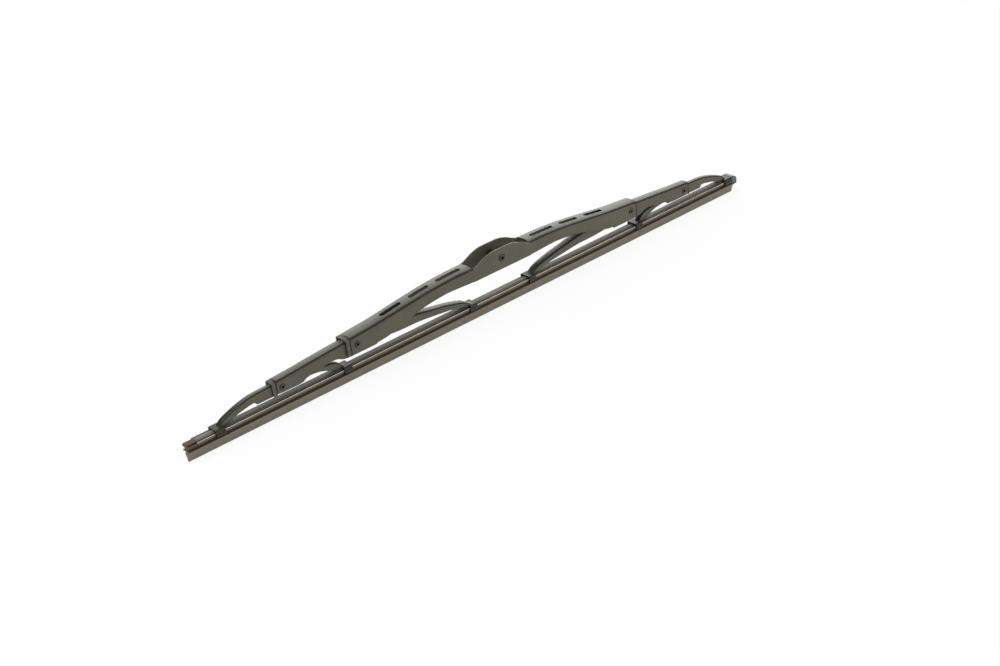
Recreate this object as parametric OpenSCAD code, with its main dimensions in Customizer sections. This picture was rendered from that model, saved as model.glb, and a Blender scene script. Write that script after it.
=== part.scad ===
// Framed windscreen wiper blade: a pressed steel bridge, two secondary bridges, two tertiary yokes,
// riveted pivots with plastic liners, two spring rails and one moulded rubber strip with an end cap.
// The origin is the middle of the arm pin. +X runs along the blade, +Y along the pin, +Z away from the glass.

/* [Wiping strip] */
// Length of the rubber strip
strip_len = 500; // [494:1:506]
// Rubber past the outer claw at the open end
open_overhang = 20; // [14:0.5:24]
// Rubber past the outer claw at the capped end
cap_overhang = 4.5; // [4:0.5:6]
// From the arm pin's axis down to the top of the rubber
strip_drop = 26.8; // [26:0.1:28]
// Width of the rubber's top bead
bead_w = 5.2; // [4.8:0.1:5.8]
// Height of the bead above the rail slots
bead_h = 0.8; // [0.7:0.05:1.1]
// Width of the web between the rail slots
slot_web_w = 2.4; // [2:0.1:2.6]
// Width of the flange below the rails
flange_w = 7.4; // [6.8:0.1:7.8]
// Height of the flange below the rails
flange_h = 1.3; // [1:0.05:1.5]
// Width of the web between the claw grooves
groove_web_w = 3; // [2.6:0.1:3.4]
// Height of the claw grooves
groove_h = 2.15; // [1.7:0.05:2.4]
// Width over the two wings below the claws
wing_w = 8; // [7.4:0.1:8.2]
// Height of the wings at their tips
wing_h = 0.8; // [0.6:0.05:1]
// Thickness of the neck that lets the lip flip over
neck_w = 1.1; // [0.9:0.05:1.4]
// Height of the neck
neck_h = 1.1; // [0.9:0.05:1.3]
// Width over the lip's shoulders
lip_w = 4.2; // [3.6:0.1:4.6]
// Height of the lip, shoulders to wiping edge
lip_h = 6.1; // [5.4:0.1:6.6]
// Thickness of the wiping edge
edge_w = 0.9; // [0.7:0.05:1.2]

/* [Rails] */
// Thickness of a spring rail
rail_t = 0.85; // [0.7:0.05:0.95]
// Width over the two rails
rails_w = 8; // [7.8:0.1:8.2]
// Bare rubber past the rails at the open end
rail_setback = 6.5; // [4:0.5:9]
// Length of the locking notch in each rail
notch_len = 2.4; // [2.2:0.1:3]
// Depth of the locking notch
notch_depth = 0.6; // [0.5:0.05:0.8]

/* [Claws] */
// Steel thickness of the claws
claw_t = 0.85; // [0.7:0.05:0.95]
// Width over a claw
claw_w = 10; // [9.9:0.1:10.6]
// Length of an outer claw along the strip
claw_len = 7; // [6:0.5:8]
// Length of the middle and inner claws
claw_len_inner = 6.2; // [5.5:0.1:7]
// Opening between a claw's two finger tips
claw_mouth = 4.4; // [4:0.1:5]
// Locking pips in the cheeks of the capped end's claw: diameter at the cheek
pip_d = 1.4; // [1:0.1:1.6]
// How far a pip stands in from its cheek
pip_h = 0.4; // [0.3:0.05:0.45]
// Middle claws, inwards from the outer pivots
claw_mid_setback = 50; // [48.5:0.5:51.5]
// Inner claws, from the arm pin
claw_inner_x = 27.5; // [26:0.5:32]

/* [Primary bridge] */
// Steel thickness of the primary bridge
primary_t = 1; // [0.9:0.05:1.1]
// From the arm pin to the bridge's end
primary_reach = 132; // [131:0.5:134]
// Width over the ears at the arm pin
primary_mid_w = 14.2; // [13.6:0.1:16]
// Width over the bridge's ends
primary_end_w = 12.4; // [12:0.1:12.8]
// Height of the web's top above the arm pin, at the ears
primary_crown = 2.4; // [2:0.1:3]
// Height of the web's top at the ends
primary_end_z = -6.5; // [-6.6:0.1:-6]
// Lower edge of the side walls at the arm pin
primary_low_mid = -8.2; // [-9:0.1:-7.6]
// Lower edge of the side walls at the ends
primary_low_end = -18.4; // [-19:0.1:-18]
// Outer radius of the bends between web and walls
primary_bend_r = 1.3; // [1.1:0.1:1.8]
// Half length of the opening for the wiper arm's hook
hook_open = 26.3; // [25:0.1:28]
// Height of the ears above the arm pin
ear_h = 7.8; // [7:0.1:9]
// Width of the slots through the web
web_slot_w = 3.8; // [2.8:0.1:4.2]

/* [Secondary bridges] */
// Steel thickness of the secondary bridges
secondary_t = 0.9; // [0.8:0.05:0.95]
// From the arm pin to a secondary bridge's outer end
secondary_reach = 190; // [189:0.5:192]
// Width at the pivot in the primary bridge
secondary_w = 8.4; // [8:0.1:8.4]
// Width at the outer end
secondary_end_w = 8; // [8:0.1:8.4]
// Top at the inner pivot
secondary_crown = -8.5; // [-8.8:0.1:-8.4]
// Top at the outer end
secondary_end_z = -12.7; // [-12.8:0.1:-12.5]
// Depth of the walls below the inner pivot
secondary_low = 7.9; // [7.4:0.1:8.2]
// Depth of the walls below the outer pivot
secondary_tail_low = 4.1; // [3.6:0.1:4.4]
// Outer radius of the bends
secondary_bend_r = 1.2; // [1:0.1:1.6]

/* [Tertiary yokes] */
// Steel thickness of the tertiary yokes
tertiary_t = 0.8; // [0.7:0.05:0.85]
// Width over a tertiary yoke's arms
tertiary_w = 4.8; // [4.4:0.1:4.8]
// Top at the outer pivot
tertiary_crown = -15.1; // [-15.5:0.1:-15]
// Depth of the walls below the outer pivot
tertiary_low = 4.8; // [4.4:0.1:5]
// Outer radius of the bends
tertiary_bend_r = 1; // [0.9:0.1:1.3]

/* [Pivots] */
// Inner pivot, back from the primary bridge's end
pivot_inner_setback = 5.5; // [5:0.1:6]
// Inner pivot, below the arm pin
pivot_inner_drop = 12.5; // [12:0.1:12.8]
// Outer pivot, back from the secondary bridge's end
pivot_outer_setback = 4.5; // [4:0.1:5]
// Outer pivot, below the arm pin
pivot_outer_drop = 18.2; // [18:0.1:18.4]
// Diameter of the pivot rivets
rivet_d = 3.6; // [3:0.1:3.8]
// Diameter of the arm pin
arm_pin_d = 4.8; // [4.2:0.1:5.2]
// Radial running clearance of every rivet
rivet_play = 0.05; // [0.03:0.01:0.08]
// Wall of the plastic liners
liner_wall = 0.5; // [0.4:0.05:0.5]
// Length of a liner inside its channel
liner_len = 13; // [11:0.5:13]
// How far a liner's collar stands out of its channel, on the left half
collar_left = 2.8; // [2.2:0.1:3]
// The same on the right half, where the liners end almost flush
collar_right = 0.5; // [0.3:0.1:1]
// How thick and how long the joint between a collar and its sleeve is
collar_lap = 0.15; // [0.1:0.05:0.2]

/* [End cap] */
// Gap between the capped end's claw and the cap
cap_gap = 0.3; // [0.2:0.1:0.6]
// Wall of the cap over the bead and the rails
cap_wall = 1; // [0.8:0.1:1.3]
// Closed end of the cap
cap_end = 1.2; // [1.1:0.1:2]
// How far the closed end reaches down over the wings and the neck
cap_apron = 1.8; // [1.2:0.1:2.4]

/* [Hidden] */
$fn = 48;

steel = [0.27, 0.27, 0.25];
liner_colour = [0.13, 0.14, 0.13];
rivet_colour = [0.33, 0.33, 0.30];
rubber_colour = [0.24, 0.22, 0.20];
rail_colour = [0.50, 0.49, 0.46];
cap_colour = [0.30, 0.31, 0.32];

// Clearance that every sliding or seated piece keeps
play = 0.15;
seat = 0.05;
// A length that reaches past everything it cuts
past = 60;

// Heights down through the strip's section
bead_top = -strip_drop;
slot_top = bead_top - bead_h;
slot_floor = slot_top - rail_t - 2 * seat;
flange_floor = slot_floor - flange_h;
groove_floor = flange_floor - groove_h;
wing_floor = groove_floor - 0.4 - wing_h;
neck_floor = wing_floor - neck_h + 0.3;
edge_z = neck_floor - lip_h;
claw_outer_x = (strip_len - open_overhang - cap_overhang - claw_len) / 2;
pivot_inner_x = primary_reach - pivot_inner_setback;
pivot_outer_x = secondary_reach - pivot_outer_setback;
claw_mid_x = pivot_outer_x - claw_mid_setback;
strip_x0 = -claw_outer_x - claw_len / 2 - open_overhang;
strip_x1 = claw_outer_x + claw_len / 2 + cap_overhang;

// Heights of the claws, from the strip they hold
claw_top = bead_top + play + claw_t;
claw_under = bead_top + play;
claw_floor = flange_floor - play - claw_t;

pivot_inner_z = -pivot_inner_drop;
pivot_outer_z = -pivot_outer_drop;

// Directions of the flats that make up a bend: the web is slightly crowned, the corners are tight
crown_angle = 12;
outer_flats = [6, 12, 31, 51, 71];
inner_flats = [12, 45];

// A smooth curve through control points [x, z], with the slope of the neighbours at each point
function slope(c, i) =
    let (a = max(i - 1, 0), b = min(i + 1, len(c) - 1)) (c[b][1] - c[a][1]) / (c[b][0] - c[a][0]);
function blend(c, i, t) =
    let (d = c[i + 1][0] - c[i][0])
    (2 * t ^ 3 - 3 * t ^ 2 + 1) * c[i][1] + (t ^ 3 - 2 * t ^ 2 + t) * d * slope(c, i)
    + (3 * t ^ 2 - 2 * t ^ 3) * c[i + 1][1] + (t ^ 3 - t ^ 2) * d * slope(c, i + 1);
function smooth(c, step) = concat(
    [for (i = [0:len(c) - 2])
        let (d = c[i + 1][0] - c[i][0], n = ceil(d / step))
        for (k = [0:n - 1]) [c[i][0] + d * k / n, blend(c, i, k / n)]],
    [c[len(c) - 1]]
);

// A curve from fractions: along from x0 to x1 and up from z0 to z1
function span(x0, x1, z0, z1, list) =
    [for (p = list) [x0 + p[0] * (x1 - x0), z0 + p[1] * (z1 - z0)]];
function flipped(list) = [for (i = [len(list) - 1:-1:0]) list[i]];
function mirrored(list) = [for (p = flipped(list)) [-p[0], p[1]]];

// How far a flat at angle a lies from the axis, for a crowned channel of half width w and top z
function crown_run(w, r) = (w - r) / sin(crown_angle);
function reach_of_flat(a, w, z, r) =
    a < crown_angle
    ? (z - r - crown_run(w, r)) * cos(a) + r + crown_run(w, r)
    : (w - r) * sin(a) + (z - r - crown_run(w, r) * (1 - cos(crown_angle))) * cos(a) + r;

// Everything below one flat, the curve swept along that flat
module below_flat(top, widths, r, a, inset) {
    edge = [for (p = top) [p[0], reach_of_flat(abs(a), lookup(p[0], widths), p[1], r) - inset]];
    rotate([-a + 90, 0, 0])
        linear_extrude(height = 2 * past, center = true)
            polygon(concat(edge, [[top[len(top) - 1][0], -past], [top[0][0], -past]]));
}

// A solid bar with a crowned top and rounded upper corners; low closes it below
module crowned_bar(top, low, widths, r, inset, flats) {
    plan = [for (p = top) [p[0], lookup(p[0], widths) - inset]];
    intersection() {
        rotate([90, 0, 0])
            linear_extrude(height = 2 * past, center = true)
                polygon(concat([for (p = top) [p[0], p[1] - inset]], flipped(low)));
        translate([0, 0, -past])
            linear_extrude(height = 2 * past)
                polygon(concat(plan, [for (p = flipped(plan)) [p[0], -p[1]]]));
        for_flats(top, widths, r, inset, flats);
    }
}

module for_flats(top, widths, r, inset, flats) {
    intersection_for (a = concat(flats, -flats)) below_flat(top, widths, r, a, inset);
}

// The curve carried straight on past both ends, so that a cut runs out of the piece
function run_on(top) =
    let (n = len(top) - 1, d = 5)
    concat(
        [[top[0][0] - d, top[0][1] - d * (top[1][1] - top[0][1]) / (top[1][0] - top[0][0])]],
        top,
        [[top[n][0] + d, top[n][1] + d * (top[n][1] - top[n - 1][1]) / (top[n][0] - top[n - 1][0])]]
    );

// A pressed channel, open below and at both ends
module channel(top, low, widths, r, t) {
    long = run_on(top);
    n = len(long) - 1;
    difference() {
        crowned_bar(top, low, widths, r, 0, outer_flats);
        crowned_bar(long, [[long[0][0], -past], [long[n][0], -past]], widths, r, t, inner_flats);
    }
}

module round_rect(x0, x1, y0, y1, r) {
    translate([x0, y0 + r]) square([x1 - x0, y1 - y0 - 2 * r]);
    translate([x0 + r, y0]) square([x1 - x0 - 2 * r, y1 - y0]);
    for (x = [x0 + r, x1 - r], y = [y0 + r, y1 - r]) translate([x, y]) circle(r = r);
}

// A profile drawn in Y and Z, run along X
module along_x(x0, x1) {
    translate([x0, 0, 0]) rotate([90, 0, 90]) linear_extrude(height = x1 - x0) children();
}

// One claw: a plate over the strip with two fingers folded under the rails' flange
module claw(x, length) {
    along_x(x - length / 2, x + length / 2)
        difference() {
            round_rect(-claw_w / 2, claw_w / 2, claw_floor, claw_top, 1.3);
            round_rect(-claw_w / 2 + claw_t, claw_w / 2 - claw_t, claw_floor + claw_t, claw_under, 0.45);
            translate([-claw_mouth / 2, claw_floor - 1]) square([claw_mouth, claw_t + 1.5]);
        }
}

module cross_bore(x, z, d) {
    translate([x, 0, z]) rotate([90, 0, 0]) cylinder(d = d, h = past, center = true);
}

// Primary bridge: web and walls, ends to ears
function primary_top_half() = span(0, primary_reach, primary_end_z, primary_crown, [
    [0.18, 1], [0.3, 0.989], [0.394, 0.927], [0.47, 0.843], [0.545, 0.73], [0.62, 0.6],
    [0.7, 0.449], [0.795, 0.262], [0.894, 0.124], [1, 0]
]);
function primary_low_half() = span(0, primary_reach, primary_low_end, primary_low_mid, [
    [0, 1], [0.12, 1], [0.23, 1.044], [0.33, 1.115], [0.38, 1.13], [0.44, 1.07], [0.49, 1],
    [0.53, 0.926], [0.57, 0.81], [0.61, 0.682], [0.65, 0.538], [0.7, 0.351], [0.74, 0.207],
    [0.78, 0.096], [0.83, 0.02], [0.88, 0], [1, 0]
]);
primary_widths = [
    [-primary_reach - 6, primary_end_w / 2], [-primary_reach + 17, primary_end_w / 2],
    [-47, primary_mid_w / 2], [47, primary_mid_w / 2],
    [primary_reach - 17, primary_end_w / 2], [primary_reach + 6, primary_end_w / 2]
];
// Slots through each half of the web, as fractions of its reach
web_slots = [[0.245, 0.407], [0.457, 0.588], [0.641, 0.775]];

module ear_outline() {
    arch = span(0, hook_open, 0, ear_h, [
        [0, 1], [0.3, 0.985], [0.49, 0.86], [0.65, 0.66], [0.78, 0.45], [0.87, 0.305], [0.94, 0.22], [1, 0.19]
    ]);
    half = smooth(arch, 2.5);
    polygon(concat(mirrored(half), half, [[hook_open, primary_low_mid], [-hook_open, primary_low_mid]]));
}

module primary_bridge() {
    half = smooth(primary_top_half(), 7);
    top = concat(mirrored(half), half);
    low_half = primary_low_half();
    low = concat(mirrored(low_half), low_half);
    inner_w = primary_mid_w - 2 * primary_t;
    color(steel)
        difference() {
            union() {
                difference() {
                    channel(top, low, primary_widths, primary_bend_r, primary_t);
                    translate([-hook_open, -inner_w / 2, -1]) cube([2 * hook_open, inner_w, past]);
                }
                for (s = [-1, 1])
                    translate([0, s * (primary_mid_w - primary_t) / 2, 0]) rotate([90, 0, 0])
                        linear_extrude(height = primary_t, center = true) ear_outline();
            }
            for (s = [-1, 1], f = web_slots) {
                x0 = f[0] * primary_reach + web_slot_w / 2;
                x1 = f[1] * primary_reach - web_slot_w / 2;
                translate([min(s * x0, s * x1), -web_slot_w / 2, -past / 4])
                    cube([x1 - x0, web_slot_w, past / 2]);
                for (x = [x0, x1])
                    translate([s * x, 0, -past / 4]) cylinder(d = web_slot_w, h = past / 2);
            }
            for (s = [-1, 1]) cross_bore(s * pivot_inner_x, pivot_inner_z, rivet_d + 2 * rivet_play);
            cross_bore(0, 0, arm_pin_d + 2 * rivet_play);
        }
}

// A rivet across a channel of width w: a low head behind, a rolled tubular end in front
module rivet(x, z, w, d, head_d, head_h, roll_d, roll_h) {
    hole = 0.45 * d;
    translate([x, 0, z]) rotate([-90, 0, 0])
        rotate_extrude()
            polygon([
                [0, w / 2 + head_h], [0.3 * head_d, w / 2 + head_h],
                [0.44 * head_d, w / 2 + 0.75 * head_h], [head_d / 2, w / 2 + 0.25 * head_h],
                [head_d / 2, w / 2], [d / 2, w / 2], [d / 2, -w / 2], [roll_d / 2, -w / 2],
                [roll_d / 2, -w / 2 - 0.4 * roll_h], [0.42 * roll_d, -w / 2 - 0.85 * roll_h],
                [0.34 * roll_d, -w / 2 - roll_h], [hole / 2 + 0.3, -w / 2 - 0.9 * roll_h],
                [hole / 2, -w / 2 - 0.6 * roll_h], [hole / 2, -w / 2 + 1.6], [0, -w / 2 + 2.1]
            ]);
}

module arm_pin() {
    color(rivet_colour) rivet(0, 0, primary_mid_w, arm_pin_d, arm_pin_d + 3, 1.2, arm_pin_d + 0.9, 0.7);
}

module inner_rivet() {
    color(rivet_colour)
        rivet(pivot_inner_x, pivot_inner_z, primary_end_w, rivet_d, rivet_d + 2.4, 1, rivet_d + 1, 0.6);
}

module outer_rivet() {
    color(rivet_colour)
        rivet(pivot_outer_x, pivot_outer_z, secondary_end_w, rivet_d, rivet_d + 2.4, 1, rivet_d + 1, 0.6);
}

// Secondary bridge: long inner arm down to the inner claw, outer arm to the outer pivot
secondary_widths = [
    [0, 3.1], [claw_inner_x, 3.1], [pivot_inner_x - 12, secondary_w / 2],
    [pivot_inner_x + 12, secondary_w / 2], [pivot_outer_x - 10, secondary_end_w / 2],
    [secondary_reach + 20, secondary_end_w / 2]
];
function secondary_top() = concat(
    flipped(span(pivot_inner_x, claw_inner_x, claw_top, secondary_crown, [
        [0.116, 1.01], [0.217, 0.975], [0.32, 0.91], [0.43, 0.81], [0.52, 0.732], [0.59, 0.665],
        [0.67, 0.572], [0.764, 0.48], [0.838, 0.385], [0.9, 0.295], [0.935, 0.225], [0.96, 0.14],
        [0.985, 0.045], [1.01, 0]
    ])),
    span(pivot_inner_x, secondary_reach, secondary_end_z, secondary_crown, [
        [0, 1], [0.14, 0.96], [0.37, 0.709], [0.53, 0.536], [0.685, 0.321], [0.84, 0.15], [1, 0]
    ])
);
function secondary_low_edge() =
    let (deep = pivot_inner_z - secondary_low)
    concat(
        flipped(span(pivot_inner_x, claw_inner_x, claw_under, deep, [
            [0.165, 1], [0.185, 1.44], [0.225, 1.46], [0.285, 1.33], [0.369, 1.224], [0.52, 1.16],
            [0.58, 1.08], [0.641, 0.968], [0.722, 0.808], [0.803, 0.648], [0.874, 0.408], [0.924, 0.168],
            [0.955, 0], [1.01, 0]
        ])),
        span(pivot_inner_x, secondary_reach, pivot_outer_z - secondary_tail_low, deep, [
            [0.12, 1], [0.19, 1.5], [0.245, 2.4], [0.315, 2.7], [0.4, 2.3], [0.5, 1.5], [0.61, 1.35],
            [0.65, 0.9], [0.69, 0.2], [0.73, 0], [0.95, 0], [1, 0.2]
        ])
    );

module secondary_bridge() {
    color(steel)
        difference() {
            union() {
                channel(
                    smooth(secondary_top(), 7), secondary_low_edge(), secondary_widths,
                    secondary_bend_r, secondary_t
                );
                claw(claw_inner_x, claw_len_inner);
            }
            cross_bore(pivot_inner_x, pivot_inner_z, rivet_d + 2 * rivet_play);
            cross_bore(pivot_outer_x, pivot_outer_z, rivet_d + 2 * rivet_play);
        }
}

// Tertiary yoke: an arm each way from the outer pivot, each ending in a claw
tertiary_widths = [[0, tertiary_w / 2], [300, tertiary_w / 2]];
function tertiary_top() = concat(
    flipped(span(pivot_outer_x, claw_mid_x, claw_top, tertiary_crown, [
        [0.15, 1], [0.27, 0.985], [0.35, 0.93], [0.51, 0.786], [0.63, 0.665], [0.71, 0.6],
        [0.78, 0.57], [0.85, 0.48], [0.91, 0.3], [0.944, 0.14], [0.975, 0.02], [1, 0]
    ])),
    span(pivot_outer_x, claw_outer_x, claw_top, tertiary_crown, [
        [0, 1], [0.2, 1], [0.36, 0.98], [0.5, 0.92], [0.66, 0.745], [0.74, 0.63], [0.82, 0.49],
        [0.885, 0.38], [0.935, 0.26], [0.968, 0.12], [0.99, 0.02], [1.01, 0]
    ])
);
function tertiary_low_edge() =
    let (deep = pivot_outer_z - tertiary_low)
    concat(
        flipped(span(pivot_outer_x, claw_mid_x, claw_under, deep, [
            [0.33, 1], [0.365, 1.35], [0.4, 1.62], [0.47, 1.62], [0.56, 1.49], [0.62, 1.3], [0.685, 1],
            [0.76, 0.48], [0.82, 0.12], [0.86, 0], [1, 0]
        ])),
        span(pivot_outer_x, claw_outer_x, claw_under, deep, [
            [0.39, 1], [0.43, 1.57], [0.49, 1.52], [0.58, 1.3], [0.66, 1.1], [0.74, 0.75], [0.79, 0.45],
            [0.84, 0.12], [0.875, 0], [1.01, 0]
        ])
    );

// Pips that snap into the rails' notches
module locking_pips() {
    for (s = [-1, 1])
        translate([claw_outer_x, s * (claw_w / 2 - claw_t - pip_h), slot_floor + seat + rail_t / 2])
            rotate([-90 * s, 0, 0]) cylinder(d1 = 0.6 * pip_d, d2 = pip_d, h = pip_h + 0.2);
}

module tertiary_yoke(locking) {
    color(steel)
        difference() {
            union() {
                channel(
                    smooth(tertiary_top(), 6), tertiary_low_edge(), tertiary_widths,
                    tertiary_bend_r, tertiary_t
                );
                claw(claw_mid_x, claw_len_inner);
                claw(claw_outer_x, claw_len);
                if (locking) locking_pips();
            }
            cross_bore(pivot_outer_x, pivot_outer_z, rivet_d + 2 * rivet_play);
        }
}

// A plastic liner: a thin sleeve inside the end of a channel, with a collar that caps the channel's edge
module liner(end_x, end_z, back_z, w, t, r, low, x, z, collar) {
    rise = (back_z - end_z) / liner_len;
    inset = t + seat;
    function on_slope(a, b) = [[end_x + a, end_z - rise * a], [end_x + b, end_z - rise * b]];
    sleeve = on_slope(-liner_len, seat + collar_lap);
    rim = on_slope(seat, collar);
    widths = [[end_x - past, w / 2], [end_x + past, w / 2]];
    color(liner_colour)
        difference() {
            union() {
                difference() {
                    crowned_bar(sleeve, flat_low(sleeve, low + 0.8), widths, r, inset, inner_flats);
                    liner_hollow(on_slope(-liner_len - 1, seat + 1), widths, r, inset + liner_wall);
                }
                difference() {
                    crowned_bar(rim, flat_low(rim, low - 0.3), widths, r, 0, outer_flats);
                    liner_hollow(on_slope(-1, collar + 1), widths, r, inset + collar_lap);
                }
            }
            cross_bore(x, z, rivet_d + 2 * rivet_play);
        }
}
module liner_hollow(top, widths, r, inset) {
    crowned_bar(top, flat_low(top, -past), widths, r, inset, inner_flats);
}
function flat_low(top, z) = [[top[0][0], z], [top[1][0], z]];

module inner_liner(collar) {
    top = smooth(primary_top_half(), 7);
    liner(
        primary_reach, primary_end_z, lookup(primary_reach - liner_len, top),
        primary_end_w, primary_t, primary_bend_r, primary_low_end, pivot_inner_x, pivot_inner_z, collar
    );
}

module outer_liner(collar) {
    top = smooth(secondary_top(), 7);
    liner(
        secondary_reach, secondary_end_z, lookup(secondary_reach - liner_len, top),
        secondary_end_w, secondary_t, secondary_bend_r, pivot_outer_z - secondary_tail_low,
        pivot_outer_x, pivot_outer_z, collar
    );
}

// The rubber's section, right half from the bead down to the wiping edge
function strip_half() = [
    [bead_w / 2 - 0.3, bead_top], [bead_w / 2, bead_top - 0.3], [bead_w / 2, slot_top],
    [slot_web_w / 2, slot_top], [slot_web_w / 2, slot_floor],
    [flange_w / 2, slot_floor], [flange_w / 2, flange_floor + 0.2], [flange_w / 2 - 0.25, flange_floor],
    [groove_web_w / 2, flange_floor], [groove_web_w / 2, groove_floor + 0.1],
    [wing_w / 2 - 0.2, groove_floor - 0.3], [wing_w / 2, groove_floor - 0.55],
    [wing_w / 2, groove_floor - 0.4 - wing_h], [wing_w / 2 - 0.35, wing_floor - 0.1],
    [neck_w / 2 + 0.3, wing_floor + 0.25], [neck_w / 2, wing_floor], [neck_w / 2, neck_floor + 0.3],
    [neck_w / 2 + 0.25, neck_floor + 0.1], [lip_w / 2 - 0.25, neck_floor], [lip_w / 2, neck_floor - 0.25],
    [lip_w / 2 - 0.1, neck_floor - 0.8], [0.33 * lip_w, neck_floor - 0.4 * lip_h],
    [0.1 * lip_w + 0.3 * edge_w, neck_floor - 0.72 * lip_h],
    [edge_w / 2, edge_z]
];

module wiping_rubber() {
    half = strip_half();
    color(rubber_colour)
        along_x(strip_x0, strip_x1)
            polygon(concat(half, [for (p = flipped(half)) [-p[0], p[1]]]));
}

// Spring rail: a flat strip in the rubber's side slot, with a notch for the locking claw
module rail(side) {
    inner_y = slot_web_w / 2 + play;
    outer_y = rails_w / 2;
    x0 = strip_x0 + rail_setback;
    x1 = strip_x1 - 0.5;
    color(rail_colour)
        scale_side(side)
            difference() {
                translate([x0, inner_y, slot_floor + seat]) cube([x1 - x0, outer_y - inner_y, rail_t]);
                translate([claw_outer_x - notch_len / 2, outer_y - notch_depth, slot_floor - 1])
                    cube([notch_len, 2, rail_t + 2]);
            }
}
module scale_side(side) {
    if (side > 0) children(); else mirror([0, 1, 0]) children();
}

module front_rail() { rail(-1); }
module rear_rail() { rail(1); }

// End cap: a moulded clip over the bead, rails and flange, with a closed end that reaches further down
module end_cap() {
    x0 = claw_outer_x + claw_len / 2 + cap_gap;
    x1 = strip_x1 + cap_end;
    half_in = rails_w / 2 + play;
    half_out = half_in + cap_wall;
    top = bead_top + play + cap_wall;
    low = flange_floor - play - cap_wall;
    apron = low - cap_apron;
    inside_x = strip_x1 + play;
    color(cap_colour)
        difference() {
            intersection() {
                along_x(x0, x1) round_rect(-half_out, half_out, apron, top, 1.9);
                rotate([90, 0, 0])
                    linear_extrude(height = past, center = true)
                        polygon([
                            [x0, low + 0.5], [x0 + 0.5, low], [inside_x, low], [inside_x, apron],
                            [x1 - 0.6, apron], [x1, apron + 0.6], [x1, top - 2.4], [x1 - 0.3, top - 1.4],
                            [x1 - 0.9, top - 0.6], [x1 - 1.8, top - 0.1], [x1 - 2.6, top],
                            [x0 + 0.5, top], [x0, top - 0.5]
                        ]);
            }
            along_x(x0 - 1, inside_x)
                round_rect(-half_in, half_in, flange_floor - play, bead_top + play, 0.3);
            translate([x0 - 1, -groove_web_w / 2 - play, flange_floor - 5])
                cube([inside_x - x0 + 1, groove_web_w + 2 * play, 6]);
        }
}

module on_left() { mirror([1, 0, 0]) children(); }

primary_bridge();
arm_pin();
on_left() secondary_bridge();  // secondary_bridge_left
secondary_bridge();  // secondary_bridge_right
on_left() tertiary_yoke(false);  // tertiary_yoke_left
tertiary_yoke(true);  // tertiary_yoke_right
on_left() inner_liner(collar_left);  // inner_liner_left
inner_liner(collar_right);  // inner_liner_right
on_left() outer_liner(collar_left);  // outer_liner_left
outer_liner(collar_right);  // outer_liner_right
on_left() inner_rivet();  // inner_rivet_left
inner_rivet();  // inner_rivet_right
on_left() outer_rivet();  // outer_rivet_left
outer_rivet();  // outer_rivet_right
wiping_rubber();
front_rail();
rear_rail();
end_cap();
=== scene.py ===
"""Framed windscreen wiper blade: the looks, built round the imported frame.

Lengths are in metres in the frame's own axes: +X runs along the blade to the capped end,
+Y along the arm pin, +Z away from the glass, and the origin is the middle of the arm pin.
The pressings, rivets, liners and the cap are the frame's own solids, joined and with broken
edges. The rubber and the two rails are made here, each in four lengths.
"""

import math

import bpy
import numpy as np
from mathutils import Matrix, Vector


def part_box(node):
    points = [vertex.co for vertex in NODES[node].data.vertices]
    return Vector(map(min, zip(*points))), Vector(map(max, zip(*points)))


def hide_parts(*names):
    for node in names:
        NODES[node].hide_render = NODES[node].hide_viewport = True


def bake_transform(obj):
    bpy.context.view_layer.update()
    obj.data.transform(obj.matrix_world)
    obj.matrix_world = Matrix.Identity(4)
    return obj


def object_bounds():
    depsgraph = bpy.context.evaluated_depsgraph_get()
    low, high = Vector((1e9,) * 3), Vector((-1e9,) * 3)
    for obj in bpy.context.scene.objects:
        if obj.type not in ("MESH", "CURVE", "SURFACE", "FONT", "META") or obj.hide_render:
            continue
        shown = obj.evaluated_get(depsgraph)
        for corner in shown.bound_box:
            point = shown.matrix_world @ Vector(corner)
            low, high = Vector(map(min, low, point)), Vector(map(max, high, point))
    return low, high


bl_info = {
    "name": "Framed wiper blade",
    "version": (1, 0, 0),
    "blender": (4, 5, 0),
    "location": "3D View > Sidebar > Wiper blade",
    "description": "Finishes a pressed steel wiper blade with its rubber strip, rails, rivets and stage",
    "category": "Add Mesh",
}

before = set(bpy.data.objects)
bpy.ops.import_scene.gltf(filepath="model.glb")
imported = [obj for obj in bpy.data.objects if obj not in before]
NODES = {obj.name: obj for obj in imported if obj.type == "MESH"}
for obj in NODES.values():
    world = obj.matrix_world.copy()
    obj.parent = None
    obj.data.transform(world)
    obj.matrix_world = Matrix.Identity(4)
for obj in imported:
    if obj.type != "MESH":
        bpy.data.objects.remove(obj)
CAD_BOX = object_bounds()
MM = 0.001
SIDES = {"left": -1.0, "right": 1.0}
PRESSED = (
    "primary_bridge",
    "secondary_bridge_left",
    "secondary_bridge_right",
    "tertiary_yoke_left",
    "tertiary_yoke_right",
)
LINERS = ("inner_liner_left", "inner_liner_right", "outer_liner_left", "outer_liner_right")

# Where the strip's bends end: the middle of a bridge's claw and of a yoke's inner claw.
BRIDGE_CLAW = 0.0243
YOKE_CLAW = 0.1323
STATION_STEP = 0.002

# Radii of the rails' corners: towards the rubber's web, and at the slit edge that shows.
RAIL_INNER_CORNER = 0.00008
RAIL_OUTER_CORNER = 0.0003

# How the solids are finished: points closer than this are one, and these angles are flat or sharp.
WELD_REACH = 0.000005
FLAT_WITHIN = math.radians(0.6)
SHARP_FROM = math.radians(32)
SECTION_CORNER = math.radians(35)

# Parts of a face's direction over which the weathered film builds up: squarely sideways, clear of
# the bend, up at all, and dead level. Short of squarely sideways the film is left off, a painted shade
# and painted dark reflection that draws the dark line along each bend; the inner faces of the channels
# keep a little less film, also a painted shade. The last span is the direction's Y times the place's Y.
SQUARE_ON_ELSE_PAINTED_SHADE = (0.965, 0.9995)
CLEAR_OF_PAINTED_BEND_SHADE = (0.27, 0.09)
FACING_UP = (-0.1, 0.3)
DEAD_LEVEL = (0.93, 0.985)
OUTER_FACES_ELSE_PAINTED_SHADE = (0.0004, 0.002)
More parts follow.
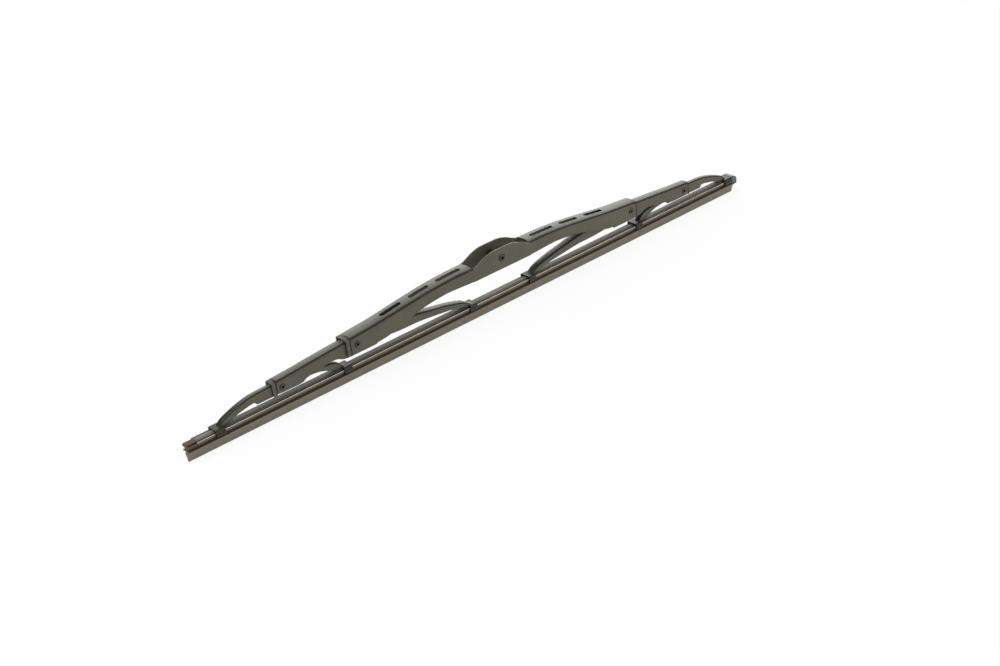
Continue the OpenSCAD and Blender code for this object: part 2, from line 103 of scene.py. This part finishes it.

# Heights over which the film builds up: on the claws' cheeks, on their tops, and on the bridges.
# Low on the claws' cheeks almost no film is left, a painted shade that darkens them.
CLAW_CHEEKS_PAINTED_SHADE = (-0.0268, -0.0236)
CLAW_TOPS = (-0.027, -0.022)
BRIDGE_TOPS = (-0.013, -0.008)

# Distances from the end of an outer pressing over which its painted shadow in the joint ends, and
# the dust begins, which widens that painted shadow on the top faces.
PAINTED_JOINT_SHADOW_ENDS = (0.0004, 0.0009)
DUST_BEGINS = (0.0011, 0.0016)

# Depths below the worn rib's top, and half widths, at which the strip's colours change; between the
# groove's roof and its foot the rubber is painted in shade.
RIB_FLANK = (0.0003, 0.0001)
RIB_HALF = (0.00105, 0.0008)
GROOVE_ROOF = (0.00275, 0.003)
GROOVE_FOOT = (0.0054, 0.005)
LIP_BEGINS = (0.0049, 0.0055)

# The stage. Each softbox has a name, a place, what it looks at, its width and height, and its watts.
FLOOR_HALF = 4.0
FLOOR_GAP = 0.0002
FLOOR_WHITE = "#efefef"
WHITE = "#ffffff"
FLOOR_GLOW = 0.91
STUDIO_LIGHT = 0.42
BACKDROP_WHITE = 0.97
SOFTBOXES = (
    ("top_softbox", (-0.6, 0.2, 1.5), (0.0, 0.0, 0.0), 1.0, 0.8, 12.0),
    ("low_softbox", (1.05, 1.3, 0.48), (0.05, 0.0, 0.0), 1.6, 0.85, 15.0),
    ("front_softbox", (0.75, -1.7, 0.75), (0.0, 0.0, 0.0), 1.4, 0.8, 16.5),
    ("left_softbox", (-1.7, 0.2, 0.7), (0.0, 0.0, 0.0), 0.9, 0.7, 5.0),
)

# The photograph's camera, fitted to the blade's outline: lens and sensor are in millimetres.
CAMERA_PLACE = (-0.5936, -0.7657, 0.4735)
CAMERA_FORWARD = (0.534, 0.6934, -0.4838)
CAMERA_UP = (0.3853, 0.3097, 0.8692)
CAMERA_LENS = 55.64
CAMERA_SENSOR = 36.0


def linear(hex_colour):
    """An sRGB hex colour as linear red, green, blue and an alpha of 1."""
    parts = [int(hex_colour[i : i + 2], 16) / 255.0 for i in (1, 3, 5)]
    low = [p / 12.92 if p <= 0.04045 else ((p + 0.055) / 1.055) ** 2.4 for p in parts]
    return (*low, 1.0)


def new_material(name):
    """A new material and its node tree, which is empty."""
    made = bpy.data.materials.new(name)
    made.use_nodes = True
    made.node_tree.nodes.clear()
    return made, made.node_tree


def add(tree, kind, links=None, **settings):
    """Adds one node: settings are its own properties, and links give each input its source.

    A source is a value, another node's output, or a node, which stands for its first output.
    """
    made = tree.nodes.new("ShaderNode" + kind)
    for key, value in settings.items():
        setattr(made, key, value)
    for key, value in (links or {}).items():
        if isinstance(value, bpy.types.Node):
            value = value.outputs[0]
        if isinstance(value, bpy.types.NodeSocket):
            tree.links.new(value, made.inputs[key])
        else:
            made.inputs[key].default_value = value
    return made


def thinned(tree, film, by, span, shares=(0.0, 1.0), soft=True):
    """A film thinned by another value: times the first share at the span's start, the second at its end."""
    links = {"Value": by, "From Min": span[0], "From Max": span[1], "To Min": shares[0], "To Max": shares[1]}
    share = add(tree, "MapRange", links, interpolation_type="SMOOTHSTEP" if soft else "LINEAR")
    return add(tree, "Math", {0: film, 1: share}, operation="MULTIPLY")


def drawn_grain(tree, at, waves, detail, along):
    """Noise drawn out along the blade: waves per metre across it, and along times as many lengthwise."""
    drawn = add(tree, "Mapping", {"Vector": at, "Scale": (along, 1.0, 1.0)})
    return add(tree, "TexNoise", {"Vector": drawn, "Scale": waves, "Detail": detail})


def joint_gap(tree, along):
    """How far a point lies from the nearest end of an outer pressing: the smaller of both | |x| - end |."""
    away = add(tree, "Math", {0: along}, operation="ABSOLUTE")
    gaps = []
    for end in (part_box("primary_bridge")[1].x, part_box("secondary_bridge_right")[1].x):
        past = add(tree, "Math", {0: away, 1: end}, operation="SUBTRACT")
        gaps.append(add(tree, "Math", {0: past}, operation="ABSOLUTE"))
    return add(tree, "Math", {0: gaps[0], 1: gaps[1]}, operation="MINIMUM")


def surface(tree, made, bump, **links):
    """Ends a material in one principled surface; bump is its height, its strength and its depth in metres."""
    height, strength, depth = bump
    links["Normal"] = add(tree, "Bump", {"Height": height, "Strength": strength, "Distance": depth})
    shader = add(tree, "BsdfPrincipled", {key.replace("_", " "): value for key, value in links.items()})
    add(tree, "OutputMaterial", {0: shader})
    return made


def paint_material(name, shades, pressed=True):
    """Stoved black paint on pressed steel, chalked grey by weather.

    Chalk and dust lie on the outside flats and on the cut edges that face up. The film is left off the
    bends and rivet rims, almost off low on the claws' cheeks, and a little off the inner faces of the
    channels: this is painted shade, dark and a little glossier, and along each bend it draws the dark
    line as a painted shade and painted dark reflection.
    Mottle is 20 mm wide and orange peel 0.8 mm. Grit is drawn 1.1 mm wide and rubs 1.4 mm, coarser
    than the real ones, so that they show; the rubs are drawn out along the blade.
    """
    made, tree = new_material(name)
    where = add(tree, "TexCoord")
    at = where.outputs["Object"]
    place = add(tree, "SeparateXYZ", {0: at}).outputs
    facing = add(tree, "SeparateXYZ", {0: where.outputs["Normal"]}).outputs
    sideways = add(tree, "Math", {0: facing["Y"]}, operation="ABSOLUTE")
    outward = add(tree, "Math", {0: facing["Y"], 1: place["Y"]}, operation="MULTIPLY")
    # Painted shade: film only where a face looks squarely sideways, a little less on inner faces, and almost
    # none low on the claws' cheeks.
    film = thinned(tree, 1.0, sideways, SQUARE_ON_ELSE_PAINTED_SHADE)
    film = thinned(tree, film, outward, OUTER_FACES_ELSE_PAINTED_SHADE, (0.88, 1.0))
    film = thinned(tree, film, place["Z"], CLAW_CHEEKS_PAINTED_SHADE, (0.06, 1.0))
    dust = 0.0
    if pressed:
        gap = joint_gap(tree, place["X"])
        level = thinned(tree, 1.0, facing["Z"], DEAD_LEVEL, (0.12, 1.0))
        raised = thinned(tree, 1.0, place["Z"], BRIDGE_TOPS)
        dust = add(tree, "Math", {0: level, 1: raised}, operation="MAXIMUM")
        # Dust is kept off the bends as well, so their painted shade stays dark.
        dust = thinned(tree, dust, sideways, CLEAR_OF_PAINTED_BEND_SHADE)
        dust = thinned(tree, dust, facing["Z"], FACING_UP)
        dust = thinned(tree, dust, place["Z"], CLAW_TOPS, (0.1, 1.0))
        # Dust thins towards each joint, widening its painted shadow on the top faces.
        dust = thinned(tree, dust, gap, DUST_BEGINS)
        film = add(tree, "Math", {0: film, 1: dust}, operation="MAXIMUM")
        # Painted shadow in the joint: the film is left off next to each outer pressing's end.
        film = thinned(tree, film, gap, PAINTED_JOINT_SHADOW_ENDS)
    mottle = add(tree, "TexNoise", {"Vector": at, "Scale": 50.0, "Detail": 4.0})
    film = thinned(tree, film, mottle, (0.3, 0.7), (0.78, 1.0), soft=False)
    grit = add(tree, "TexNoise", {"Vector": at, "Scale": 900.0, "Detail": 3.0})
    film = thinned(tree, film, grit, (0.35, 0.65), (0.84, 1.0), soft=False)
    rubs = drawn_grain(tree, at, 700.0, 2.0, 0.08)
    film = thinned(tree, film, rubs, (0.35, 0.65), (0.9, 1.0), soft=False)
    chalk = add(tree, "Mix", {0: dust, 6: shades["chalk"], 7: shades["dust"]}, data_type="RGBA")
    coat = add(tree, "Mix", {0: film, 6: shades["paint"], 7: chalk.outputs[2]}, data_type="RGBA")
    peel = add(tree, "TexNoise", {"Vector": at, "Scale": 1250.0, "Detail": 1.0})
    return surface(
        tree,
        made,
        bump=(peel, 0.12, 0.0002),
        Base_Color=coat.outputs[2],
        Roughness=add(tree, "MapRange", {"Value": film, "To Min": 0.42, "To Max": 0.5}),
        IOR=1.43,
        Specular_Tint=shades["gloss"],
    )


def rail_material(shades, foot):
    """Rolled spring steel: a dull blued top with grain drawn along the strip, and slit edges rubbed bright.

    foot is the height of the rails' lower face. The slit edges are bare bright steel, and the upper
    half of each is painted brighter still, a painted highlight that draws the fine light line along the
    strip. Stains are 11 mm wide. The grain is drawn 0.7 mm wide, coarser than real rolling marks, so
    that it shows.
    """
    made, tree = new_material("Rolled spring steel")
    where = add(tree, "TexCoord")
    at = where.outputs["Object"]
    height = add(tree, "SeparateXYZ", {0: at}).outputs["Z"]
    facing = add(tree, "SeparateXYZ", {0: where.outputs["Normal"]}).outputs
    sideways = add(tree, "Math", {0: facing["Y"]}, operation="ABSOLUTE")
    stain = add(tree, "TexNoise", {"Vector": at, "Scale": 90.0, "Detail": 3.0})
    edge = thinned(tree, 1.0, sideways, (0.25, 0.6))
    # Painted highlight: the upper half of each slit edge is brighter.
    edge = thinned(tree, edge, height, (foot + 0.0003, foot + 0.0005), (0.4, 1.0))
    edge = thinned(tree, edge, stain, (0.35, 0.7), (0.85, 1.0), soft=False)
    steel = add(tree, "Mix", {0: edge, 6: shades["rail"], 7: shades["slit"]}, data_type="RGBA")
    grain = drawn_grain(tree, at, 1500.0, 4.0, 0.03)
    rough = {"Value": grain, "From Min": 0.3, "From Max": 0.7, "To Min": 0.42, "To Max": 0.58}
    return surface(
        tree,
        made,
        bump=(grain, 0.1, 0.0001),
        Base_Color=steel.outputs[2],
        Metallic=1.0,
        Roughness=add(tree, "MapRange", rough),
    )


def plastic_material(name, own, worn, rough, painted_joint_shadow=None):
    """Moulded plastic with a spark-eroded grain, paler where handling has rubbed it.

    The grain is drawn 0.6 mm wide, coarser than the real one, so that it shows, and rubbed patches
    are 4 mm. With a shadow colour, a dark line is painted as the shadow in the joint against each
    outer pressing.
    """
    made, tree = new_material(name)
    at = add(tree, "TexCoord").outputs["Object"]
    handled = add(tree, "TexNoise", {"Vector": at, "Scale": 260.0, "Detail": 3.0})
    rubbed = add(tree, "MapRange", {"Value": handled, "From Min": 0.4, "From Max": 0.75})
    colour = add(tree, "Mix", {0: rubbed, 6: own, 7: worn}, data_type="RGBA").outputs[2]
    if painted_joint_shadow:
        along = add(tree, "SeparateXYZ", {0: at}).outputs["X"]
        # Painted shadow in the joint: the bare paint colour next to each outer pressing's end.
        clean = thinned(tree, 1.0, joint_gap(tree, along), PAINTED_JOINT_SHADOW_ENDS)
        colour = add(tree, "Mix", {0: clean, 6: painted_joint_shadow, 7: colour}, data_type="RGBA").outputs[2]
    spark = add(tree, "TexNoise", {"Vector": at, "Scale": 1600.0, "Detail": 2.0})
    return surface(tree, made, bump=(spark, 0.2, 0.0001), Base_Color=colour, Roughness=rough, IOR=1.5)


def rubber_material(shades, top, rails):
    """Extruded rubber, dark in the claws' groove, with a grey bloom on the rib and a browner lip.

    top is the height of the worn rib and rails the two ends of the rails. The claws' groove is
    painted in shade, darker than the heel. The bare end before the rails is darker, and has no bloom
    on its rib.
    The lip's bloom is 7 mm wide. The die's lines run along the strip, drawn 0.7 mm apart, coarser
    than the real ones, so that they show.
    """
    made, tree = new_material("Extruded rubber, bloomed")
    at = add(tree, "TexCoord").outputs["Object"]
    place = add(tree, "SeparateXYZ", {0: at}).outputs
    away = add(tree, "Math", {0: place["Y"]}, operation="ABSOLUTE")
    depth = add(tree, "Math", {0: top, 1: place["Z"]}, operation="SUBTRACT")
    start, end = rails
    bare = thinned(tree, 0.75, place["X"], (start + 0.003, start - 0.001))
    below = thinned(tree, 1.0, depth, LIP_BEGINS)
    patches = add(tree, "TexNoise", {"Vector": at, "Scale": 140.0, "Detail": 5.0})
    bloom = thinned(tree, below, patches, (0.35, 0.7), (0.0, 0.35), soft=False)
    # Painted shade in the claws' groove, between its roof and its foot.
    inside = thinned(tree, thinned(tree, 1.0, depth, GROOVE_ROOF), depth, GROOVE_FOOT)
    rib = thinned(tree, thinned(tree, 1.0, away, RIB_HALF), depth, RIB_FLANK)
    rib = thinned(tree, rib, place["X"], (start, start + 0.002))
    rib = thinned(tree, rib, place["X"], (end, end - 0.002))
    colour = shades["heel"]
    layers = ((bare, "groove"), (below, "lip"), (bloom, "bloom"), (inside, "groove"), (rib, "rib"))
    for share, shade in layers:
        colour = add(tree, "Mix", {0: share, 6: colour, 7: shades[shade]}, data_type="RGBA").outputs[2]
    lines = drawn_grain(tree, at, 1500.0, 3.0, 0.04)
    return surface(
        tree,
        made,
        bump=(lines, 0.25, 0.0002),
        Base_Color=colour,
        Roughness=add(tree, "MapRange", {"Value": lines, "To Min": 0.55, "To Max": 0.8}),
        IOR=1.45,
    )


def dress(piece, material):
    """Gives a piece one material."""
    piece.data.materials.clear()
    piece.data.materials.append(material)


def finish_solid(piece, width):
    """Joins a solid's loose triangles, breaks its sharp edges by width and shades its bends smooth."""
    piece.data.polygons.foreach_set("use_smooth", [True] * len(piece.data.polygons))
    weld = piece.modifiers.new("Joined faces", "WELD")
    weld.merge_threshold = WELD_REACH
    flats = piece.modifiers.new("Whole flats", "DECIMATE")
    flats.decimate_type = "DISSOLVE"
    flats.angle_limit = FLAT_WITHIN
    broken = piece.modifiers.new("Broken edges", "BEVEL")
    broken.width = width
    broken.segments = 2
    broken.limit_method = "ANGLE"
    broken.angle_limit = SHARP_FROM
    even = piece.modifiers.new("Even shading", "WEIGHTED_NORMAL")
    even.keep_sharp = True
    even.weight = 60


def grid_object(name, points):
    """A mesh from a grid of points: quads join each row to the next, rows close, and both ends are capped."""
    rows, cols = points.shape[:2]
    near = np.arange(rows * cols).reshape(rows, cols)
    far = np.roll(near, -1, axis=1)
    quads = np.stack([near[:-1], near[1:], far[1:], far[:-1]], axis=-1).reshape(-1, 4)
    faces = quads.tolist() + [near[0].tolist(), near[-1, ::-1].tolist()]
    mesh = bpy.data.meshes.new(name)
    mesh.from_pydata(points.reshape(-1, 3).tolist(), [], faces)
    mesh.update()
    mesh.polygons.foreach_set("use_smooth", [True] * len(mesh.polygons))
    made = bpy.data.objects.new(name, mesh)
    bpy.context.scene.collection.objects.link(made)
    return made


def rounded(corners, radii, steps):
    """A closed outline with each corner replaced by a curve that starts and ends radius away from it.

    The curve is the quadratic through both ends, pulled to the corner: (1-t)^2 a + 2t(1-t) c + t^2 b.
    The radius is at most 0.45 of the shorter side at that corner, so that curves don't meet.
    """
    corners = np.asarray(corners, float)
    before = np.roll(corners, 1, axis=0) - corners
    after = np.roll(corners, -1, axis=0) - corners
    long_before = np.linalg.norm(before, axis=1, keepdims=True)
    long_after = np.linalg.norm(after, axis=1, keepdims=True)
    radius = np.minimum(np.asarray(radii, float).reshape(-1, 1), 0.45 * np.minimum(long_before, long_after))
    a = corners + before / long_before * radius
    b = corners + after / long_after * radius
    t = np.linspace(0.0, 1.0, steps + 1).reshape(1, -1, 1)
    curve = (1 - t) ** 2 * a[:, None] + 2 * t * (1 - t) * corners[:, None] + t**2 * b[:, None]
    return curve.reshape(-1, 2)


def stations_between(a, b):
    """Even stations along X from the lower to the higher end, at most one step apart."""
    count = max(2, int(math.ceil(abs(b - a) / STATION_STEP)) + 1)
    return np.linspace(min(a, b), max(a, b), count)


def sweep_along_x(stations, outline):
    """The outline of (y, z) points carried along X: point (i, j) is (station i, outline j)."""
    grid = np.empty((len(stations), len(outline), 3))
    grid[:, :, 0] = stations[:, None]
    grid[:, :, 1:] = outline[None]
    return grid


def length(name, description, default):
    """A length that the panel shows, in metres."""
    return bpy.props.FloatProperty(name=name, description=description, default=default, unit="LENGTH")


def tint(name, description, default):
    """A colour that the panel shows, as an sRGB hex value."""
    return bpy.props.StringProperty(name=name, description=description, default=default)


class WIPER_PG_sizes(bpy.types.PropertyGroup):
    """Sizes of the edges and surfaces that are made here; the frame gives all the others."""

    edge_break: length("Edge break", "Width of the broken edge on pressed steel", 0.00016)
    rivet_edge: length("Rivet edge", "Width of the broken edge on the rivets and the pin", 0.00006)
    liner_edge: length("Liner edge", "Width of the broken edge on the liners", 0.00012)
    cap_edge: length("Cap edge", "Width of the rounded edge on the end cap", 0.0004)
    heel_width: length("Heel width", "Width of the rubber's top bead", 0.0052)
    rib_width: length("Rib width", "Width of the flat rib along the bead", 0.0018)
    rib_drop: length("Rib drop", "How far the worn rib lies below the new bead's top", 0.0003)
    wing_width: length("Wing width", "Width over the rubber's wings", 0.008)
    lip_edge: length("Wiping edge", "Thickness of the wiping edge", 0.0009)
    inner_split: length("Strip split", "Where the strip's inner and outer lengths meet", 0.031)


class WIPER_PG_colours(bpy.types.PropertyGroup):
    """Colours of the finishes, as sRGB hex values."""

    # Paint: the bare black paint, which is also the painted shade in the bends, on rivet rims and claws'
    # cheeks, and the painted shadow in the joints.
    paint: tint("Paint", "Paint where it is rubbed clean", "#13120c")
    chalk: tint("Chalk", "Weathered film on the walls", "#5a574b")
    dust: tint("Dust", "Weathered film on the top faces", "#6a6c63")
    gloss: tint("Gloss", "Warm tint of what the paint reflects", "#fffaec")
    rail: tint("Rails", "Blued face of the rails", "#47433b")
    # Slit: bare bright steel of the rails' edges, brightest on their upper half as a painted highlight.
    slit: tint("Slit edges", "Bright edge of the rails", "#bdb6a8")
    heel: tint("Heel", "Rubber of the bead and the flange", "#5f5950")
    rib: tint("Rib", "Bloom on the bead's rib", "#79756b")
    # Groove: the painted shade inside the claws' groove; the bare end before the rails is mixed towards it.
    groove: tint("Groove", "Rubber inside the claws' groove", "#463d30")
    lip: tint("Lip", "Rubber of the wings and the lip", "#736a5e")
    bloom: tint("Bloom", "Pale bloom on the lip", "#837b70")
    liner: tint("Liners", "Plastic of the liners", "#45443a")
    liner_worn: tint("Liners, rubbed", "Plastic of the liners where it is rubbed", "#54524a")
    cap: tint("End cap", "Plastic of the end cap", "#484a50")
    cap_worn: tint("End cap, rubbed", "Plastic of the end cap where it is rubbed", "#606368")


def sizes():
    """The scene's sizes, as the panel shows them."""
    return bpy.context.scene.wiper_sizes


def colours():
    """The scene's colours by name, as linear values."""
    group = bpy.context.scene.wiper_colours
    return {key: linear(getattr(group, key)) for key in WIPER_PG_colours.__annotations__}


class WIPER_OT_pressed_steel(bpy.types.Operator):
    """Paints the pressed bridges and yokes and breaks their edges"""

    bl_idname = "wiper.pressed_steel"
    bl_label = "Pressed steel"

    def execute(self, context):
        paint = paint_material("Stoved black paint, chalked", colours())
        for name in PRESSED:
            finish_solid(NODES[name], sizes().edge_break)
            dress(NODES[name], paint)
        return {"FINISHED"}


class WIPER_OT_rivets(bpy.types.Operator):
    """Finishes the arm pin and the pivot rivets"""

    bl_idname = "wiper.rivets"
    bl_label = "Rivets and arm pin"

    def execute(self, context):
        # The rivets keep film only where they face squarely sideways: their rims and bores show the bare
        # paint as painted shade.
        steel = paint_material("Painted rivet steel", colours(), pressed=False)
        for name in NODES:
            if "rivet" in name or name == "arm_pin":
                finish_solid(NODES[name], sizes().rivet_edge)
                dress(NODES[name], steel)
        return {"FINISHED"}


class WIPER_OT_liners(bpy.types.Operator):
    """Finishes the plastic liners and the end cap"""

    bl_idname = "wiper.liners"
    bl_label = "Liners and end cap"

    def execute(self, context):
        shades = colours()
        own, worn = shades["liner"], shades["liner_worn"]
        # The liners take the bare paint colour as the painted shadow in their joints.
        black = plastic_material("Moulded acetal", own, worn, rough=0.55, painted_joint_shadow=shades["paint"])
        own, worn = shades["cap"], shades["cap_worn"]
        grey = plastic_material("Moulded nylon, blue-grey", own, worn, rough=0.42)
        for name in LINERS:
            finish_solid(NODES[name], sizes().liner_edge)
            dress(NODES[name], black)
        finish_solid(NODES["end_cap"], sizes().cap_edge)
        dress(NODES["end_cap"], grey)
        return {"FINISHED"}


def strip_outline():
    """The rubber's section as (y, z): bead, rail slot, flange, claw groove, wing, neck and lip, mirrored.

    The heights run down from the strip's top in millimetres. Each corner of the right half is
    its y, its z and its radius. The lip's flank bends at 0.4 and 0.72 of the way to its edge.
    """
    low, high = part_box("wiping_rubber")
    heel, wing, edge = sizes().heel_width / MM, sizes().wing_width / MM, sizes().lip_edge / MM
    rib = sizes().rib_width / MM
    bead = (high.z - sizes().rib_drop) / MM
    slot = high.z / MM - 0.8
    shelf = slot - 0.95
    flange = shelf - 1.3
    groove = flange - 2.15
    wing_low = groove - 1.2
    neck = wing_low - 0.8
    tip = low.z / MM
    slot_half = 1.2
    flange_half = 3.7
    groove_half = 1.5
    neck_half = 0.55
    half = [
        (rib / 2, bead, 0.1),
        (heel / 2 - 0.15, bead - 0.3, 0.15),
        (heel / 2, bead - 0.4, 0.05),
        (heel / 2, slot, 0.08),
        (slot_half, slot, 0.05),
        (slot_half, shelf, 0.05),
        (flange_half, shelf, 0.12),
        (flange_half, flange, 0.2),
        (groove_half, flange, 0.15),
        (groove_half, groove + 0.08, 0.25),
        (wing / 2 - 0.2, groove - 0.3, 0.2),
        (wing / 2, groove - 0.55, 0.12),
        (wing / 2, wing_low, 0.12),
        (wing / 2 - 0.35, wing_low - 0.1, 0.15),
        (0.85, wing_low + 0.25, 0.1),
        (neck_half, wing_low, 0.15),
        (neck_half, neck + 0.3, 0.12),
        (0.8, neck + 0.1, 0.12),
        (1.85, neck, 0.15),
        (2.1, neck - 0.25, 0.15),
        (2.0, neck - 0.8, 0.3),
        (1.386, neck - 0.4 * (neck - tip), 1.0),
        (0.69, neck - 0.72 * (neck - tip), 1.0),
        (edge / 2, tip, 0.05),
    ]
    right = np.array(half)
    left = right[::-1] * (-1, 1, 1)
    section = np.vstack([right, left])
    return rounded(section[:, :2] * MM, section[:, 2] * MM, steps=3)


def strip_spans():
    """Each length of the strip: its name, its ends, the two bodies it bends between, and the bend's ends."""
    low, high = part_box("wiping_rubber")
    for side, sign in SIDES.items():
        split = sign * sizes().inner_split
        outer_end = high.x if sign > 0 else low.x
        bridge, yoke = f"secondary_{side}", f"tertiary_{side}"
        yield f"{side}_inner", (0.0, split), ("main_frame", bridge), (0.0, sign * BRIDGE_CLAW)
        yield f"{side}_outer", (split, outer_end), (bridge, yoke), (split, sign * YOKE_CLAW)


def lay_strip(name, grid, material, node):
    """One length of the strip or of a rail, with its material and split section corners; it hides the node it
    stands for.
    """
    made = grid_object(name, grid)
    edges = made.modifiers.new("Section corners", "EDGE_SPLIT")
    edges.split_angle = SECTION_CORNER
    dress(made, material)
    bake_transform(made)
    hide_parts(node)


class WIPER_OT_rubber(bpy.types.Operator):
    """Makes the rubber strip in four lengths"""

    bl_idname = "wiper.rubber"
    bl_label = "Wiping rubber"

    def execute(self, context):
        outline = strip_outline()
        rail_low, rail_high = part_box("front_rail")
        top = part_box("wiping_rubber")[1].z - sizes().rib_drop
        rubber = rubber_material(colours(), top, (rail_low.x, rail_high.x))
        for name, (a, b), bodies, run in strip_spans():
            grid = sweep_along_x(stations_between(a, b), outline)
            lay_strip(f"rubber_{name}", grid, rubber, "wiping_rubber")
        return {"FINISHED"}


class WIPER_OT_rails(bpy.types.Operator):
    """Makes the two spring rails, each in four lengths"""

    bl_idname = "wiper.rails"
    bl_label = "Rails"

    def execute(self, context):
        steel = rail_material(colours(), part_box("front_rail")[0].z)
        for node, side in (("front_rail", -1.0), ("rear_rail", 1.0)):
            low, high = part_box(node)
            inner = min(abs(low.y), abs(high.y))
            outer = max(abs(low.y), abs(high.y))
            corners = [(inner, low.z), (outer, low.z), (outer, high.z), (inner, high.z)]
            radii = [RAIL_INNER_CORNER, RAIL_OUTER_CORNER, RAIL_OUTER_CORNER, RAIL_INNER_CORNER]
            outline = rounded(corners, radii, steps=4)
            outline[:, 0] *= side
            if side < 0:
                outline = outline[::-1]
            for name, ends, bodies, run in strip_spans():
                a, b = (min(max(end, low.x), high.x) for end in ends)
                grid = sweep_along_x(stations_between(a, b), outline)
                lay_strip(f"{node}_{name}", grid, steel, node)
        return {"FINISHED"}


def aim(position, target):
    """A rotation that looks from position to target."""
    return (Vector(target) - Vector(position)).to_track_quat("-Z", "Y").to_euler()


class WIPER_OT_stage(bpy.types.Operator):
    """Sets the pale floor, the soft studio light and the camera"""

    bl_idname = "wiper.stage"
    bl_label = "Stage"

    def execute(self, context):
        scene = context.scene
        self.floor(scene)
        for softbox in SOFTBOXES:
            self.light(scene, *softbox)
        scene.world = self.studio()
        scene.view_settings.view_transform = "Standard"
        self.camera(scene)
        return {"FINISHED"}

    def floor(self, scene):
        """A large square just below the wiping edge."""
        signs = ((-1, -1), (1, -1), (1, 1), (-1, 1))
        height = CAD_BOX[0][2] - FLOOR_GAP
        mesh = bpy.data.meshes.new("floor")
        mesh.from_pydata([(x * FLOOR_HALF, y * FLOOR_HALF, height) for x, y in signs], [], [(0, 1, 2, 3)])
        floor = bpy.data.objects.new("floor", mesh)
        scene.collection.objects.link(floor)
        dress(floor, self.floor_material())

    def floor_material(self):
        """Matt white floor: to the eye and in reflections it adds its own white, and it keeps a shadow."""
        made, tree = new_material("Matt white floor")
        rays = add(tree, "LightPath").outputs
        seen = add(tree, "Math", {0: rays["Is Camera Ray"], 1: rays["Is Glossy Ray"]}, operation="MAXIMUM")
        seen = add(tree, "Math", {0: seen, 1: rays["Is Transmission Ray"]}, operation="MAXIMUM")
        part = add(tree, "Math", {0: seen, 1: FLOOR_GLOW}, operation="MULTIPLY")
        diffuse = add(tree, "BsdfDiffuse", {"Color": linear(FLOOR_WHITE)})
        own = add(tree, "Emission", {"Color": linear(WHITE), "Strength": 1.0})
        shown = add(tree, "MixShader", {0: part, 1: diffuse, 2: own})
        add(tree, "OutputMaterial", {0: shown})
        return made

    def studio(self):
        """Even white light at the studio's level, which the camera sees as a white backdrop."""
        world = bpy.data.worlds.new("Studio")
        world.use_nodes = True
        tree = world.node_tree
        rays = add(tree, "LightPath").outputs
        levels = {"Value": rays["Is Camera Ray"], "To Min": STUDIO_LIGHT, "To Max": BACKDROP_WHITE}
        seen = add(tree, "MapRange", levels)
        background = tree.nodes["Background"]
        background.inputs["Color"].default_value = linear(WHITE)
        tree.links.new(seen.outputs[0], background.inputs["Strength"])
        return world

    def light(self, scene, name, position, target, width, height, power):
        """One softbox that looks at its target."""
        data = bpy.data.lights.new(name, "AREA")
        data.shape = "RECTANGLE"
        data.size = width
        data.size_y = height
        data.energy = power
        lamp = bpy.data.objects.new(name, data)
        lamp.location = position
        lamp.rotation_euler = aim(position, target)
        scene.collection.objects.link(lamp)

    def camera(self, scene):
        """The photograph's camera: about 1.08 m away, 38 degrees round to the open end and 29 degrees up."""
        data = bpy.data.cameras.new("camera")
        data.sensor_width = CAMERA_SENSOR
        data.lens = CAMERA_LENS
        data.clip_start = 0.01
        eye = bpy.data.objects.new("camera", data)
        forward = Vector(CAMERA_FORWARD).normalized()
        right = forward.cross(Vector(CAMERA_UP)).normalized()
        up = right.cross(forward)
        turn = Matrix((right, up, -forward)).transposed().to_4x4()
        eye.matrix_world = Matrix.Translation(CAMERA_PLACE) @ turn
        scene.collection.objects.link(eye)
        scene.camera = eye


STEPS = (
    WIPER_OT_stage,
    WIPER_OT_pressed_steel,
    WIPER_OT_rivets,
    WIPER_OT_liners,
    WIPER_OT_rubber,
    WIPER_OT_rails,
)


class WIPER_PT_panel(bpy.types.Panel):
    """Lists the blade's pieces, sizes and colours"""

    bl_idname = "WIPER_PT_panel"
    bl_label = "Wiper blade"
    bl_space_type = "VIEW_3D"
    bl_region_type = "UI"
    bl_category = "Wiper blade"

    def draw(self, context):
        column = self.layout.column(align=True)
        for step in STEPS:
            column.operator(step.bl_idname)
        for group in (context.scene.wiper_sizes, context.scene.wiper_colours):
            box = self.layout.box()
            for key in type(group).__annotations__:
                box.prop(group, key)


CLASSES = (WIPER_PG_sizes, WIPER_PG_colours, *STEPS, WIPER_PT_panel)


def register():
    """Registers the classes and gives each scene the blade's sizes and colours."""
    for made in CLASSES:
        bpy.utils.register_class(made)
    bpy.types.Scene.wiper_sizes = bpy.props.PointerProperty(type=WIPER_PG_sizes)
    bpy.types.Scene.wiper_colours = bpy.props.PointerProperty(type=WIPER_PG_colours)


def unregister():
    """Takes back what register added."""
    del bpy.types.Scene.wiper_colours
    del bpy.types.Scene.wiper_sizes
    for made in reversed(CLASSES):
        bpy.utils.unregister_class(made)


def main():
    """Makes the stage and every piece."""
    register()
    bpy.ops.wiper.stage()
    bpy.ops.wiper.pressed_steel()
    bpy.ops.wiper.rivets()
    bpy.ops.wiper.liners()
    bpy.ops.wiper.rubber()
    bpy.ops.wiper.rails()


if __name__ == "__main__":
    main()
